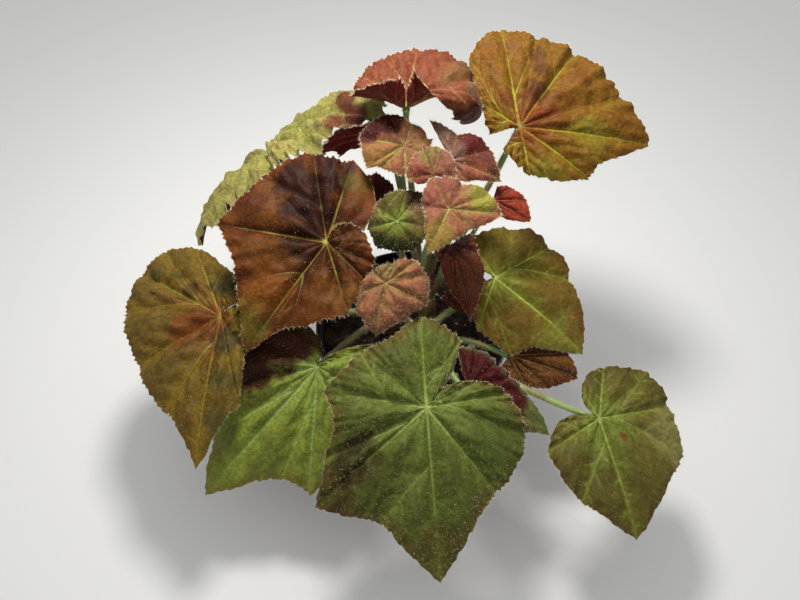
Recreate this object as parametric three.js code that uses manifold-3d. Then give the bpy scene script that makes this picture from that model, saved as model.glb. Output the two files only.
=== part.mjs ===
// A potted begonia: hairy lobed leaves on arching stalks, short fleshy stems, potting mix and a plain pot.
// Millimetres, +Z up. The origin is the centre of the pot's underside and +Y is the back.
// Compass angles are degrees seen from above: 0 to the back, 90 to the right, 180 to the front.
import * as THREE from "three";
import { mergeVertices } from "three/addons/utils/BufferGeometryUtils.js";
import Module from "manifold-3d";

const wasm = await Module();
wasm.setup();

// ---- driving dimensions ----
const POT_HEIGHT = 95;
const POT_RIM_RADIUS = 60;
const POT_FOOT_RADIUS = 44;
const POT_WALL = 1.6;
const POT_RIM_DROP = 12;
const POT_RIM_STEP = 2.2;
const POT_BASE = 2.4;
const POT_SIDES = 36;
const DRAIN_HOLES = 6;
const DRAIN_RADIUS = 4;
const DRAIN_CIRCLE = 30;
const DRAIN_SIDES = 12;
const DRAIN_PUNCH = 10;
const SOIL_TOP = 84;
const SOIL_MOUND = 4;
const SOIL_CHAMFER = 1;
const SOIL_HOLE_SIDES = 24;
const STEM_DEPTH = 34;
const STEM_RADIUS = 6.5;
const STEM_SIDES = 12;
const STEM_RING = 1;
const STEM_HEAD = 6;
const STALK_RADIUS = 1.9;
const STALK_SIDES = 5;
const STALK_STEPS = 8;
const STALK_OUTWARD = 0.5;
const STALK_UPWARD = 0.85;
const STALK_FIRST_PULL = 0.35;
const STALK_LAST_PULL = 0.3;
const STALK_CLEARANCE = 0.5;
const BLADE_THICKNESS = 0.9;
const TOOTH = 2;
const TOOTH_SHORTEST = 0.6;
const TOOTH_SPREAD = 0.8;
const PUFF = 0.11;
const PUFF_PEAK = 0.75;
const RAY_STEPS = 16;
const LARGE_LEAF = 60;
const LARGE_MARGIN_STEPS = 12;
const SMALL_MARGIN_STEPS = 8;
const GAP = 0.3;
const WELD = 1e-4;

const RADIANS = Math.PI / 180;

// ---- the leaves ----
// hub: where the stalk meets the blade. tip: the compass angle the blade points to.
// leans: the compass angle the upper face leans towards, and by how many degrees.
// veins: [angle from the tip, length along the leaf, slope at the hub, slope at the margin, dip],
// where the dip is how far the margin draws in before the next vein.
// The first and last rows are the two edges of the notch at the stalk.
// overlap: how many degrees the last edge sweeps on, under the first.
// puff: how high the blade swells between two veins, as a share of their distance apart.
// bends: the two control points of the stalk's curve, where it has to clear another piece.
const LEAVES = [
  {
    name: "leaf_front",
    stem: "front",
    hub: [6, -78, 130],
    tip: 177,
    leans: [180, 25],
    colour: "#557a33",
    veins: [
      [-141, 12, 0, -5, 2],
      [-114, 30, 5, -5, 0],
      [-96, 43, 5, -12, 0],
      [-70, 54, 5, -20, 0],
      [-36, 56, 5, -20, 8],
      [-1, 87, 0, -20, 3],
      [25, 63, 0, -20, 3],
      [52, 78, 0, -25, 3],
      [66, 61, 0, -25, 9],
      [102, 55, 5, -20, 2],
      [133, 46, 5, -25, 6],
      [180, 51, 0, -30, 0],
      [212, 40, 5, -25, 2],
      [223, 19, 0, -10, 0],
    ],
  },
  {
    name: "leaf_front_left",
    stem: "left",
    hub: [-54, -43, 112],
    tip: 200,
    leans: [185, 38],
    colour: "#5d8237",
    veins: [
      [-153, 9, 0, -5, 0],
      [-135, 34, 0, -10, 2],
      [-86, 43, 0, -15, 1],
      [-42, 54, 0, -15, 1],
      [-18, 78, 0, -20, 3],
      [-4, 72, 0, -20, 8],
      [19, 106, 0, -20, 2],
      [34, 80, 0, -30, 1],
      [55, 60, 0, -35, 1],
      [88, 42, 0, -25, 1],
      [137, 28, 0, -20, 1],
      [176, 10, 0, -10, 0],
    ],
  },
  {
    name: "leaf_centre_red",
    stem: "left",
    hub: [-48, 8, 160],
    tip: 212,
    leans: [180, 27],
    overlap: 50,
    colour: "#7c3f26",
    veins: [
      [-188, 8, 22, 15, 0],
      [-146, 21, 18, 8, 1],
      [-99, 31, 12, 0, 1],
      [-80, 34, 5, -10, 3],
      [-52, 43, 0, -15, 2],
      [-12, 53, 0, -15, 6],
      [1, 78, 0, -25, 4],
      [30, 57, 0, -15, 6],
      [65, 64, 0, -10, 3],
      [101, 56, 0, -15, 1],
      [135, 58, 0, -20, 3],
      [160, 53, -3, -15, -3],
      [165, 23, -6, -20, 0],
    ],
  },
  {
    name: "leaf_far_left",
    stem: "left",
    hub: [-109, -19, 128],
    tip: 190,
    leans: [215, 12],
    colour: "#8a7a2c",
    veins: [
      [-150, 9, -5, -15, 0],
      [-95, 18, -5, -25, 1],
      [-42, 28, -5, -30, 3],
      [-23, 53, -5, -35, 6],
      [-2, 86, -5, -30, 6],
      [17, 62, 0, -22, 1],
      [51, 55, 0, -18, 2],
      [89, 63, 0, -12, 1],
      [112, 66, 0, -12, 1],
      [128, 67, 0, -12, 1],
      [145, 58, 0, -18, 1],
      [163, 40, -5, -30, 3],
      [200, 14, -5, -35, 0],
    ],
  },
  {
    name: "leaf_back_left",
    stem: "left",
    hub: [-91, 101, 148],
    tip: 266,
    leans: [301, 46],
    puff: 0.2,
    colour: "#7f8a3c",
    veins: [
      [-176, 89, 0, -36, 2],
      [-152, 92, 0, -58, 8],
      [-126, 54, -4, -50, 3],
      [-84, 44, 0, -55, 3],
      [-52, 48, 0, -55, 3],
      [-24, 64, 0, -48, 3],
      [0, 86, 0, -30, 3],
      [30, 60, 0, -25, 2],
      [70, 44, 0, -25, 2],
      [110, 42, 0, -25, 2],
      [150, 52, 0, -15, 2],
      [180, 64, 0, -20, 0],
    ],
  },
  {
    name: "leaf_top_cupped",
    stem: "back",
    hub: [-4, 74, 200],
    tip: 0,
    leans: [180, 10],
    colour: "#a5573d",
    veins: [
      [-172, 20, 55, 105, 0],
      [-150, 30, 55, 105, 1],
      [-115, 30, 45, 80, 2],
      [-78, 33, 12, -10, 1],
      [-49, 37, 12, -20, 1],
      [-18, 42, 12, -20, 1],
      [9, 46, 14, -18, 1],
      [38, 51, 18, -30, 1],
      [66, 61, 22, -85, 1],
      [95, 70, 42, -175, 1],
      [112, 62, 65, -160, 14],
      [140, 33, 75, 85, 1],
      [160, 29, 55, 105, 1],
      [176, 20, 55, 105, 0],
    ],
  },
  {
    name: "leaf_top_pink",
    stem: "back",
    hub: [-5, 53, 190],
    tip: 225,
    leans: [160, 25],
    colour: "#9a6348",
    veins: [
      [-160, 18, 0, -10, 1],
      [-119, 15, 0, -5, 0],
      [-51, 18, 0, -15, 0],
      [-6, 19, 0, -30, 2],
      [8, 26, 0, -25, 1],
      [50, 26, 0, -8, 1],
      [105, 22, 0, -6, 1],
      [149, 15, 0, 0, 0],
      [180, 15, 0, 0, 0],
    ],
  },
  {
    name: "leaf_top_arched",
    stem: "back",
    hub: [-14, 77, 182],
    tip: 262,
    leans: [350, 62],
    colour: "#4a1214",
    veins: [
      [-108, 6, 0, 0, 0],
      [-69, 13, 0, -10, 0],
      [-40, 27, 0, -15, 0],
      [-8, 40, 0, -20, 1],
      [11, 44, 0, -20, 2],
      [30, 37, 0, -20, 2],
      [60, 20, 0, -5, 1],
      [110, 14, 0, 0, 0],
    ],
  },
  {
    name: "leaf_crown_right",
    stem: "back",
    hub: [20, 42, 189],
    tip: 100,
    leans: [200, 25],
    colour: "#8b5a48",
    veins: [
      [-123, 28, 0, 0, 2],
      [-84, 16, 0, 0, 0],
      [-21, 24, 0, -15, 1],
      [14, 31, 0, -30, 3],
      [47, 16, 0, -20, 2],
      [120, 6, 0, 0, 0],
    ],
  },
  {
    name: "leaf_crown_folded",
    stem: "back",
    hub: [10, 30, 189],
    tip: 320,
    leans: [200, 30],
    colour: "#96604c",
    veins: [
      [-101, 5, 0, -5, 0],
      [-50, 15, 0, -10, 1],
      [26, 17, 0, -10, 0],
      [60, 17, 0, -10, 1],
      [157, 13, 0, -5, 0],
    ],
  },
  {
    name: "leaf_crown_centre",
    stem: "back",
    hub: [18, 8, 185],
    bends: [[6, 13, 128], [2, 13, 150]],
    tip: 190,
    leans: [180, 25],
    colour: "#9c6a50",
    veins: [
      [-162, 16, 5, -5, 0],
      [-121, 24, 5, -12, 0],
      [-97, 29, 0, -18, 1],
      [-56, 16, 0, -15, 3],
      [15, 26, 0, -25, 5],
      [83, 14, 0, -12, 0],
      [143, 20, 5, -5, 0],
      [190, 15, 5, 0, 0],
    ],
  },
  {
    name: "leaf_small_red",
    stem: "back",
    hub: [44, 28, 172],
    tip: 120,
    leans: [180, 30],
    colour: "#8a3a34",
    veins: [
      [-98, 9, 0, -10, 0],
      [-63, 14, 0, -10, 1],
      [-28, 20, 0, -10, 1],
      [2, 25, 0, -15, 1],
      [35, 11, 0, -10, 1],
      [120, 6, 0, 0, 0],
    ],
  },
  {
    name: "leaf_small_green",
    stem: "back",
    hub: [-9, 16, 168],
    tip: 185,
    leans: [180, 35],
    colour: "#69693a",
    veins: [
      [-176, 17, 0, -10, 0],
      [-146, 22, 0, -10, 1],
      [-85, 18, 0, -20, 0],
      [-37, 21, 0, -60, 1],
      [-2, 19, 0, -60, 1],
      [31, 21, 0, -60, 1],
      [70, 18, 0, -30, 1],
      [120, 15, 0, -10, 0],
      [177, 18, 5, -10, 0],
    ],
  },
  {
    name: "leaf_young_pink",
    stem: "front",
    hub: [-15, -20, 158],
    tip: 195,
    leans: [190, 30],
    colour: "#9a6a4c",
    veins: [
      [-175, 13, 10, -10, 0],
      [-141, 22, 10, -40, 1],
      [-116, 25, 0, -45, 1],
      [-79, 27, 0, -55, 2],
      [-39, 24, 0, -55, 2],
      [-1, 31, 0, -55, 2],
      [37, 24, 0, -45, 1],
      [59, 16, 0, -30, 1],
      [120, 10, 0, 0, 0],
      [180, 11, 8, -5, 0],
    ],
  },
  {
    name: "leaf_narrow_brown",
    stem: "back",
    hub: [22, 17, 148],
    tip: 160,
    leans: [180, 20],
    colour: "#6b3a28",
    veins: [
      [-103, 13, 0, 0, 0],
      [-49, 17, 0, -10, 0],
      [-14, 32, 0, -30, 1],
      [7, 47, 0, -45, 3],
      [18, 32, 0, -45, 2],
      [51, 14, 0, -30, 1],
      [129, 9, 0, 0, 0],
    ],
  },
  {
    name: "leaf_right_olive",
    stem: "front",
    hub: [49, 9, 128],
    tip: 150,
    leans: [170, 18],
    colour: "#7a6a2a",
    veins: [
      [-209, 12, 0, -10, 1],
      [-177, 31, 0, -20, 1],
      [-129, 37, 0, -15, -2],
      [-91, 42, 0, -12, -2],
      [-61, 47, 0, -15, 2],
      [-20, 70, 0, -30, 9],
      [20, 48, 0, -20, 1],
      [50, 34, 0, -15, 1],
      [82, 18, 0, -10, 0],
      [101, 7, 0, -5, 0],
    ],
  },
  {
    name: "leaf_right_brown",
    stem: "front",
    hub: [56.5, -30.5, 104],
    bends: [[28, -21, 106], [32, -24, 114]],
    tip: 110,
    leans: [180, 25],
    colour: "#6b3f2a",
    veins: [
      [-100, 18, 0, -5, 0],
      [-60, 26, 0, -14, 1],
      [-21, 38, 0, -24, 1],
      [-2, 46, 0, -32, 2],
      [21, 31, 0, -18, 1],
      [44, 22, 0, -14, 0],
      [111, 12, 0, -5, 0],
    ],
  },
  {
    name: "leaf_far_right",
    stem: "front",
    hub: [102, -70, 102],
    bends: [[41, -38, 104], [60, -56, 107]],
    tip: 165,
    leans: [180, 15],
    colour: "#6b6a32",
    veins: [
      [-211, 9, 0, -5, 0],
      [-189, 19, 0, -12, -1],
      [-152, 32, 0, -15, 2],
      [-116, 43, 0, -18, 0],
      [-84, 43, 0, -18, 2],
      [-51, 51, 0, -22, 8],
      [2, 66, 0, -25, 3],
      [32, 47, 0, -18, 1],
      [74, 35, 0, -18, 0],
      [102, 22, 0, -12, 1],
      [132, 7, 0, -5, 0],
    ],
  },
  {
    name: "leaf_under_crimson",
    stem: "front",
    hub: [30, -57, 113],
    tip: 120,
    leans: [140, 10],
    colour: "#5a1a18",
    veins: [
      [-137, 11, 0, 0, 0],
      [-130, 26, 0, -5, 0],
      [-104, 26, 0, -5, 0],
      [-74, 24, 0, -10, 0],
      [-48, 27, 0, -15, 0],
      [-29, 35, 0, -18, 2],
      [-5, 53, 0, -28, 0],
      [5, 41, 0, -22, 0],
      [46, 19, 0, -10, 0],
      [100, 12, 0, -5, 0],
    ],
  },
  {
    name: "leaf_under_bud",
    stem: "front",
    hub: [23, -6, 118],
    tip: 90,
    leans: [180, 20],
    colour: "#5f2c20",
    veins: [
      [-138, 8, 0, -10, 0],
      [-99, 12, 0, -10, 0],
      [-67, 14, 0, -10, 0],
      [-26, 12, 0, -10, 0],
      [29, 10, 0, -10, 0],
    ],
  },
  {
    name: "leaf_back_right_gold",
    stem: "back",
    hub: [58, 57, 200],
    tip: 90,
    leans: [180, 28],
    colour: "#9c7420",
    veins: [
      [-194, 17, 0, -8, 0],
      [-145, 24, 0, -8, 2],
      [-122, 51, 0, -12, -2],
      [-97, 63, 0, -15, 0],
      [-77, 58, 0, -12, 0],
      [-54, 58, 0, -12, 1],
      [-18, 63, 0, -14, 0],
      [6, 76, 0, -20, 9],
      [36, 49, 0, -20, 1],
      [78, 28, 0, -20, 1],
      [124, 16, 0, -12, 0],
    ],
  },
  {
    name: "leaf_crown_back",
    stem: "back",
    hub: [-20, 44, 157],
    tip: 350,
    leans: [170, 25],
    colour: "#4a1512",
    veins: [
      [-150, 8, 0, -5, 0],
      [-105, 12, 0, -8, 0],
      [-60, 16, 0, -12, 0],
      [-27, 19, 0, -15, 1],
      [4, 19, 0, -15, 1],
      [36, 15, 0, -12, 0],
      [70, 11, 0, -8, 0],
      [115, 8, 0, -5, 0],
      [160, 6, 0, 0, 0],
    ],
  },
];

// ---- the stems that stand in the soil ----
const STEMS = {
  front: { foot: [6, -12], top: 103 },
  left: { foot: [-14, 4], top: 98 },
  back: { foot: [8, 14], top: 100 },
};

// ---- shared helpers ----
function seeded(seed) {
  let state = seed;
  return () => {
    state = (state * 1664525 + 1013904223) % 4294967296;
    return state / 4294967296;
  };
}

function compass(degrees) {
  return new THREE.Vector3(Math.sin(degrees * RADIANS), Math.cos(degrees * RADIANS), 0);
}

function toSolid(geometry) {
  const bare = new THREE.BufferGeometry();
  bare.setAttribute("position", geometry.getAttribute("position"));
  bare.setIndex(geometry.index);
  const merged = mergeVertices(bare, WELD);
  const vertProperties = new Float32Array(merged.attributes.position.array);
  const triVerts = new Uint32Array(merged.index.array);
  return new wasm.Manifold(new wasm.Mesh({ numProp: 3, vertProperties, triVerts }));
}

function toGeometry(solid) {
  const mesh = solid.getMesh();
  const geometry = new THREE.BufferGeometry();
  geometry.setAttribute("position", new THREE.BufferAttribute(mesh.vertProperties, 3));
  geometry.setIndex(new THREE.BufferAttribute(mesh.triVerts, 1));
  geometry.computeVertexNormals();
  return geometry;
}

// A profile of [radius, height] points turned about the vertical axis.
function turned(profile, sides) {
  const points = profile.map(([radius, height]) => new THREE.Vector2(radius, height));
  const geometry = new THREE.LatheGeometry(points, sides);
  return geometry.rotateX(Math.PI / 2);
}

const plant = new THREE.Group();

function place(name, geometry, colour, roughness) {
  const material = new THREE.MeshStandardMaterial({ color: colour, roughness, metalness: 0 });
  const mesh = new THREE.Mesh(geometry, material);
  mesh.name = name;
  plant.add(mesh);
  return mesh;
}

// ---- the pot: thin black plastic with a stepped rim and drain holes ----
function potGeometry() {
  const rimFoot = POT_HEIGHT - POT_RIM_DROP;
  const shoulder = POT_RIM_RADIUS - POT_RIM_STEP;
  const inner = shoulder - POT_WALL;
  const profile = [
    [0, 0],
    [POT_FOOT_RADIUS, 0],
    [shoulder, rimFoot],
    [POT_RIM_RADIUS, rimFoot],
    [POT_RIM_RADIUS, POT_HEIGHT],
    [POT_RIM_RADIUS - POT_WALL, POT_HEIGHT],
    [POT_RIM_RADIUS - POT_WALL, rimFoot + POT_WALL],
    [inner, rimFoot + POT_WALL],
    [inner, rimFoot],
    [POT_FOOT_RADIUS - POT_WALL, POT_BASE],
    [0, POT_BASE],
  ];
  let solid = toSolid(turned(profile, POT_SIDES));
  for (let i = 0; i < DRAIN_HOLES; i += 1) {
    const hole = new THREE.CylinderGeometry(DRAIN_RADIUS, DRAIN_RADIUS, DRAIN_PUNCH, DRAIN_SIDES);
    hole.rotateX(Math.PI / 2);
    const centre = compass((360 * i) / DRAIN_HOLES).multiplyScalar(DRAIN_CIRCLE);
    hole.translate(centre.x, centre.y, 0);
    solid = solid.subtract(toSolid(hole));
  }
  return toGeometry(solid);
}

// ---- the stems: thick, ringed and short ----
function stemSolid({ foot, top }) {
  const profile = [
    [0, SOIL_TOP - STEM_DEPTH],
    [STEM_RADIUS, SOIL_TOP - STEM_DEPTH],
    [STEM_RADIUS, SOIL_TOP + SOIL_MOUND],
    [STEM_RADIUS + STEM_RING, top - STEM_HEAD],
    [STEM_RADIUS - STEM_RING, top - STEM_HEAD / 2],
    [STEM_RADIUS - 2 * STEM_RING, top],
    [0, top + 2 * STEM_RING],
  ];
  return toSolid(turned(profile, STEM_SIDES).translate(foot[0], foot[1], 0));
}

// ---- the soil: fills the pot and mounds a little, with a hole for each stem ----
// The mound's outline: [share of the radius, share of the mound's height].
const SOIL_SLOPE = [
  [0.85, 0.3],
  [0.6, 0.8],
  [0.3, 1],
  [0, 1],
];

function soilGeometry() {
  const rimFoot = POT_HEIGHT - POT_RIM_DROP;
  const inner = POT_RIM_RADIUS - POT_RIM_STEP - POT_WALL - GAP;
  const profile = [
    [0, POT_BASE + GAP],
    [POT_FOOT_RADIUS - POT_WALL - GAP, POT_BASE + GAP],
    [inner, rimFoot - SOIL_CHAMFER],
    [inner - SOIL_CHAMFER, rimFoot],
    ...SOIL_SLOPE.map(([out, up]) => [out * inner, SOIL_TOP + up * SOIL_MOUND]),
  ];
  let solid = toSolid(turned(profile, POT_SIDES));
  for (const { foot } of Object.values(STEMS)) {
    const radius = STEM_RADIUS + GAP;
    const hole = new THREE.CylinderGeometry(radius, radius, 2 * (STEM_DEPTH + GAP), SOIL_HOLE_SIDES);
    hole.rotateX(Math.PI / 2);
    hole.translate(foot[0], foot[1], SOIL_TOP);
    solid = solid.subtract(toSolid(hole));
  }
  return toGeometry(solid);
}

// ---- the blades ----
function bladeAxes({ tip, leans }) {
  const [towards, tilt] = leans;
  const up = compass(towards).multiplyScalar(Math.sin(tilt * RADIANS));
  up.z = Math.cos(tilt * RADIANS);
  const along = compass(tip);
  along.addScaledVector(up, -along.dot(up)).normalize();
  const across = new THREE.Vector3().crossVectors(along, up);
  return { across, along, up };
}

// A point at a share of the way out along a direction of the blade, in the blade's own axes.
// It is walked in short steps, and the slope turns from its hub value to its margin value.
function alongRay([angle, length, hubSlope, edgeSlope], share) {
  let reach = 0;
  let rise = 0;
  const step = (length * share) / RAY_STEPS;
  for (let i = 0; i < RAY_STEPS; i += 1) {
    const walked = (share * (i + 0.5)) / RAY_STEPS;
    const slope = (hubSlope + (edgeSlope - hubSlope) * walked ** 2) * RADIANS;
    reach += step * Math.cos(slope);
    rise += step * Math.sin(slope);
  }
  const direction = compass(angle);
  return new THREE.Vector3(reach * direction.x, reach * direction.y, rise);
}

// The blade is two inner rings of points and the toothed margin, with so many steps between two veins.
const INNER_RINGS = [
  { share: 0.36, steps: 2 },
  { share: 0.74, steps: 4 },
];

function bladeRings({ veins }) {
  const large = Math.max(...veins.map((row) => row[1])) > LARGE_LEAF;
  const steps = large ? LARGE_MARGIN_STEPS : SMALL_MARGIN_STEPS;
  return [...INNER_RINGS, { share: 1, steps }];
}

function bladePoint({ veins, overlap = 0, puff = PUFF }, sector, t, share, trim) {
  const [a, b] = [veins[sector], veins[sector + 1]];
  const row = a.map((value, i) => value + (b[i] - value) * t);
  row[1] -= a[4] * Math.sin(Math.PI * t) + trim;
  if (sector === veins.length - 2) {
    row[0] += overlap * t * share;
  }
  const point = alongRay(row, share);
  const width = row[1] * (b[0] - a[0]) * RADIANS;
  const swell = 1 - (share / PUFF_PEAK - 1) ** 2;
  point.z += puff * width * Math.sin(Math.PI * t) ** 2 * swell;
  return point;
}

function bladeGeometry(leaf, seed) {
  const random = seeded(seed);
  const sectors = leaf.veins.length - 1;
  const top = [new THREE.Vector3(0, 0, 0)];
  const layout = bladeRings(leaf);
  const rings = [];
  for (const { share, steps } of layout) {
    const ring = [];
    for (let i = 0; i <= sectors * steps; i += 1) {
      const sector = Math.min(Math.floor(i / steps), sectors - 1);
      const t = i / steps - sector;
      const toothed = share === 1 && i % 2 === 0 && t > 0 && t < 1;
      const trim = toothed ? TOOTH * (TOOTH_SHORTEST + TOOTH_SPREAD * random()) : 0;
      ring.push(top.length);
      top.push(bladePoint(leaf, sector, t, share, trim));
    }
    rings.push(ring);
  }
  const faces = [];
  for (let i = 0; i + 1 < rings[0].length; i += 1) {
    faces.push([0, rings[0][i + 1], rings[0][i]]);
  }
  for (let r = 0; r + 1 < rings.length; r += 1) {
    const ratio = layout[r + 1].steps / layout[r].steps;
    const [inner, outer] = [rings[r], rings[r + 1]];
    for (let i = 0; i + 1 < inner.length; i += 1) {
      const middle = i * ratio + Math.floor(ratio / 2);
      for (let k = 0; k < ratio; k += 1) {
        const o = i * ratio + k;
        faces.push([o < middle ? inner[i] : inner[i + 1], outer[o + 1], outer[o]]);
      }
      faces.push([inner[i], inner[i + 1], outer[middle]]);
    }
  }
  const edge = [0, ...rings.map((ring) => ring[0])];
  edge.push(...rings.at(-1).slice(1));
  edge.push(...rings.slice(0, -1).reverse().map((ring) => ring.at(-1)));

  const normals = top.map(() => new THREE.Vector3());
  for (const [a, b, c] of faces) {
    const ab = top[b].clone().sub(top[a]);
    const ac = top[c].clone().sub(top[a]);
    const normal = ab.cross(ac);
    for (const corner of [a, b, c]) {
      normals[corner].add(normal);
    }
  }
  const count = top.length;
  const bottom = top.map((p, i) => p.clone().addScaledVector(normals[i].normalize(), -BLADE_THICKNESS));
  const index = [];
  for (const [a, b, c] of faces) {
    index.push(a, b, c);
    index.push(a + count, c + count, b + count);
  }
  edge.forEach((a, i) => {
    const b = edge[(i + 1) % edge.length];
    index.push(a, b, a + count);
    index.push(b, b + count, a + count);
  });
  const geometry = new THREE.BufferGeometry().setFromPoints([...top, ...bottom]);
  geometry.setIndex(index);
  geometry.computeVertexNormals();
  return geometry;
}

// ---- the stalks: from the head of a stem, out and up, and in to the blade's underside ----
function stalkPath(leaf) {
  const { foot, top } = STEMS[leaf.stem];
  const start = new THREE.Vector3(foot[0], foot[1], top - STEM_HEAD);
  const { up } = bladeAxes(leaf);
  const hub = new THREE.Vector3(...leaf.hub);
  if (leaf.bends) {
    const [first, last] = leaf.bends.map((point) => new THREE.Vector3(...point));
    const slant = hub.clone().sub(last).angleTo(up);
    const below = BLADE_THICKNESS + STALK_CLEARANCE + STALK_RADIUS * Math.sin(slant);
    return new THREE.CubicBezierCurve3(start, first, last, hub.addScaledVector(up, -below));
  }
  const end = hub.addScaledVector(up, -BLADE_THICKNESS - STALK_CLEARANCE);
  const span = end.distanceTo(start);
  const outward = end.clone().sub(start).setZ(0).normalize().multiplyScalar(STALK_OUTWARD);
  const first = start.clone().addScaledVector(outward, STALK_FIRST_PULL * span);
  first.z += STALK_UPWARD * STALK_FIRST_PULL * span;
  const last = end.clone().addScaledVector(up, -STALK_LAST_PULL * span);
  return new THREE.CubicBezierCurve3(start, first, last, end);
}

function stalkSolid(leaf) {
  const section = new THREE.Shape();
  for (let i = 0; i < STALK_SIDES; i += 1) {
    const angle = (360 * i * RADIANS) / STALK_SIDES;
    section.lineTo(STALK_RADIUS * Math.cos(angle), STALK_RADIUS * Math.sin(angle));
  }
  const settings = { extrudePath: stalkPath(leaf), steps: STALK_STEPS, bevelEnabled: false };
  return toSolid(new THREE.ExtrudeGeometry(section, settings));
}

// ---- the plant in its pot ----
place("pot", potGeometry(), "#1c1c1d", 0.45);
place("soil", soilGeometry(), "#2e221a", 0.95);
for (const [name, stem] of Object.entries(STEMS)) {
  let solid = stemSolid(stem);
  for (const leaf of LEAVES.filter((one) => one.stem === name)) {
    solid = solid.add(stalkSolid(leaf));
  }
  place(`stems_${name}`, toGeometry(solid), "#8c9a5a", 0.6);
}
LEAVES.forEach((leaf, i) => {
  const blade = place(leaf.name, bladeGeometry(leaf, i + 1), leaf.colour, 0.6);
  const { across, along, up } = bladeAxes(leaf);
  blade.position.set(...leaf.hub);
  blade.setRotationFromMatrix(new THREE.Matrix4().makeBasis(across, along, up));
});

export default plant;
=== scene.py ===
"""A potted begonia: hairy, toothed leaves on arching stalks over a plain black nursery pot."""
from math import radians

import bpy
import numpy as np
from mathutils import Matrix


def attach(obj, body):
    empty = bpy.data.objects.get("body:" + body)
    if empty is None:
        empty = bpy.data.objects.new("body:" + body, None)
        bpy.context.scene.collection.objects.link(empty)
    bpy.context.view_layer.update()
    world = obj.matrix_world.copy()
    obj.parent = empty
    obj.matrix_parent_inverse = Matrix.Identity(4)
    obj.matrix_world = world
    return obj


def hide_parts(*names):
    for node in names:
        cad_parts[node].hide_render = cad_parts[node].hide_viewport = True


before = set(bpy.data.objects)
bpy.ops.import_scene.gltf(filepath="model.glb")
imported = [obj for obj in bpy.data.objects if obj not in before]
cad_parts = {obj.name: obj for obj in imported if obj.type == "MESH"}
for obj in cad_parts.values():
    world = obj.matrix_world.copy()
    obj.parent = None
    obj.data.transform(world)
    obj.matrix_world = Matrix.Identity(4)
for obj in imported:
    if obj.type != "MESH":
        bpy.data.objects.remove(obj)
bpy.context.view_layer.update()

# ---------------- camera
# A camera held close in front of the plant and above it, looking steeply down on the leaves.
scene = bpy.context.scene
camera_data = bpy.data.cameras.new("camera")
camera_data.sensor_width = 36
camera_data.lens = 28.8
camera = bpy.data.objects.new("camera", camera_data)
camera.location = (-0.0075, -0.2326, 0.4207)
camera.rotation_euler = (radians(37.5), 0, 0)
scene.collection.objects.link(camera)
scene.camera = camera


# ---------------- pot
# A thin nursery pot of injection-moulded black polypropylene: a cone with a stepped rim,
# rolled at its lip, and six drain holes through the base. Sizes are in millimetres.
def linear(code):
    """An sRGB hex colour as linear red, green, blue and alpha."""
    channel = np.array([int(code[i:i + 2], 16) for i in (1, 3, 5)]) / 255
    value = np.where(channel <= 0.04045, channel / 12.92, ((channel + 0.055) / 1.055) ** 2.4)
    return (*value.tolist(), 1.0)


def join(tree, node, inputs):
    """Sets each input to its value, or joins it to its socket."""
    for key, value in inputs.items():
        if isinstance(value, bpy.types.NodeSocket):
            tree.links.new(value, node.inputs[key])
        else:
            node.inputs[key].default_value = value


def add(tree, kind, inputs=None, **settings):
    """Adds one shader node, with its settings and its inputs."""
    node = tree.nodes.new("ShaderNode" + kind)
    for name, value in settings.items():
        setattr(node, name, value)
    join(tree, node, inputs or {})
    return node


def new_finish(name):
    """A new material, with its node tree and its shader."""
    finish = bpy.data.materials.new(name)
    finish.use_nodes = True
    return finish, finish.node_tree, finish.node_tree.nodes["Principled BSDF"]


def build(name, points, faces, finishes, finish_of=None, smooth=50):
    """A piece from points in millimetres and lists of corners, shaded smooth below an angle."""
    mesh = bpy.data.meshes.new(name)
    mesh.from_pydata((points / 1000).tolist(), [], faces)
    for finish in finishes:
        mesh.materials.append(finish)
    if finish_of is not None:
        mesh.polygons.foreach_set("material_index", finish_of)
    mesh.polygons.foreach_set("use_smooth", np.ones(len(faces), bool))
    mesh.set_sharp_from_angle(angle=radians(smooth))
    mesh.update()
    piece = bpy.data.objects.new(name, mesh)
    scene.collection.objects.link(piece)
    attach(piece, "root")
    return piece


def tube_faces(rings, sides, left_handed=False):
    """Squares between rings of points, and at each end a fan round one more point, numbered after
    the rings. They point outwards where the sides turn right-handed about the way that the rings
    follow, and where they turn left-handed each face is walked the other way round."""
    here = np.arange(rings * sides).reshape(rings, sides)
    there = np.roll(here, -1, 1)
    squares = np.stack([here[:-1], there[:-1], there[1:], here[1:]], -1).reshape(-1, 4)
    low = np.stack([np.full(sides, here.size), there[0], here[0]], -1)
    high = np.stack([np.full(sides, here.size + 1), here[-1], there[-1]], -1)
    faces = squares.tolist() + low.tolist() + high.tolist()
    return [face[:1] + face[:0:-1] for face in faces] if left_handed else faces


def lathe(profile, sides, wobble=0.0):
    """Turns (radius, height) points about the vertical axis. The first and last radius are 0, so
    each is one point. A wobble swells the radius as a sine, three times round."""
    profile = np.array(profile)
    turn = 2 * np.pi * np.arange(sides) / sides
    rings = profile[1:-1]
    radius = rings[:, :1] * (1 + wobble * np.sin(3 * turn + rings[:, 1:] / 4))
    z = np.repeat(rings[:, 1:], sides, 1)
    points = np.stack([radius * np.sin(turn), radius * np.cos(turn), z], -1).reshape(-1, 3)
    ends = [[0, 0, profile[0, 1]], [0, 0, profile[-1, 1]]]
    return np.vstack([points, ends]), tube_faces(len(rings), sides, left_handed=True)


def gather(parts):
    """The points and faces of several parts as one, with the corners numbered on."""
    starts = np.cumsum([0] + [len(part[0]) for part in parts]).tolist()
    faces = [[c + start for c in face] for part, start in zip(parts, starts) for face in part[1]]
    return np.vstack([part[0] for part in parts]), faces


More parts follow.
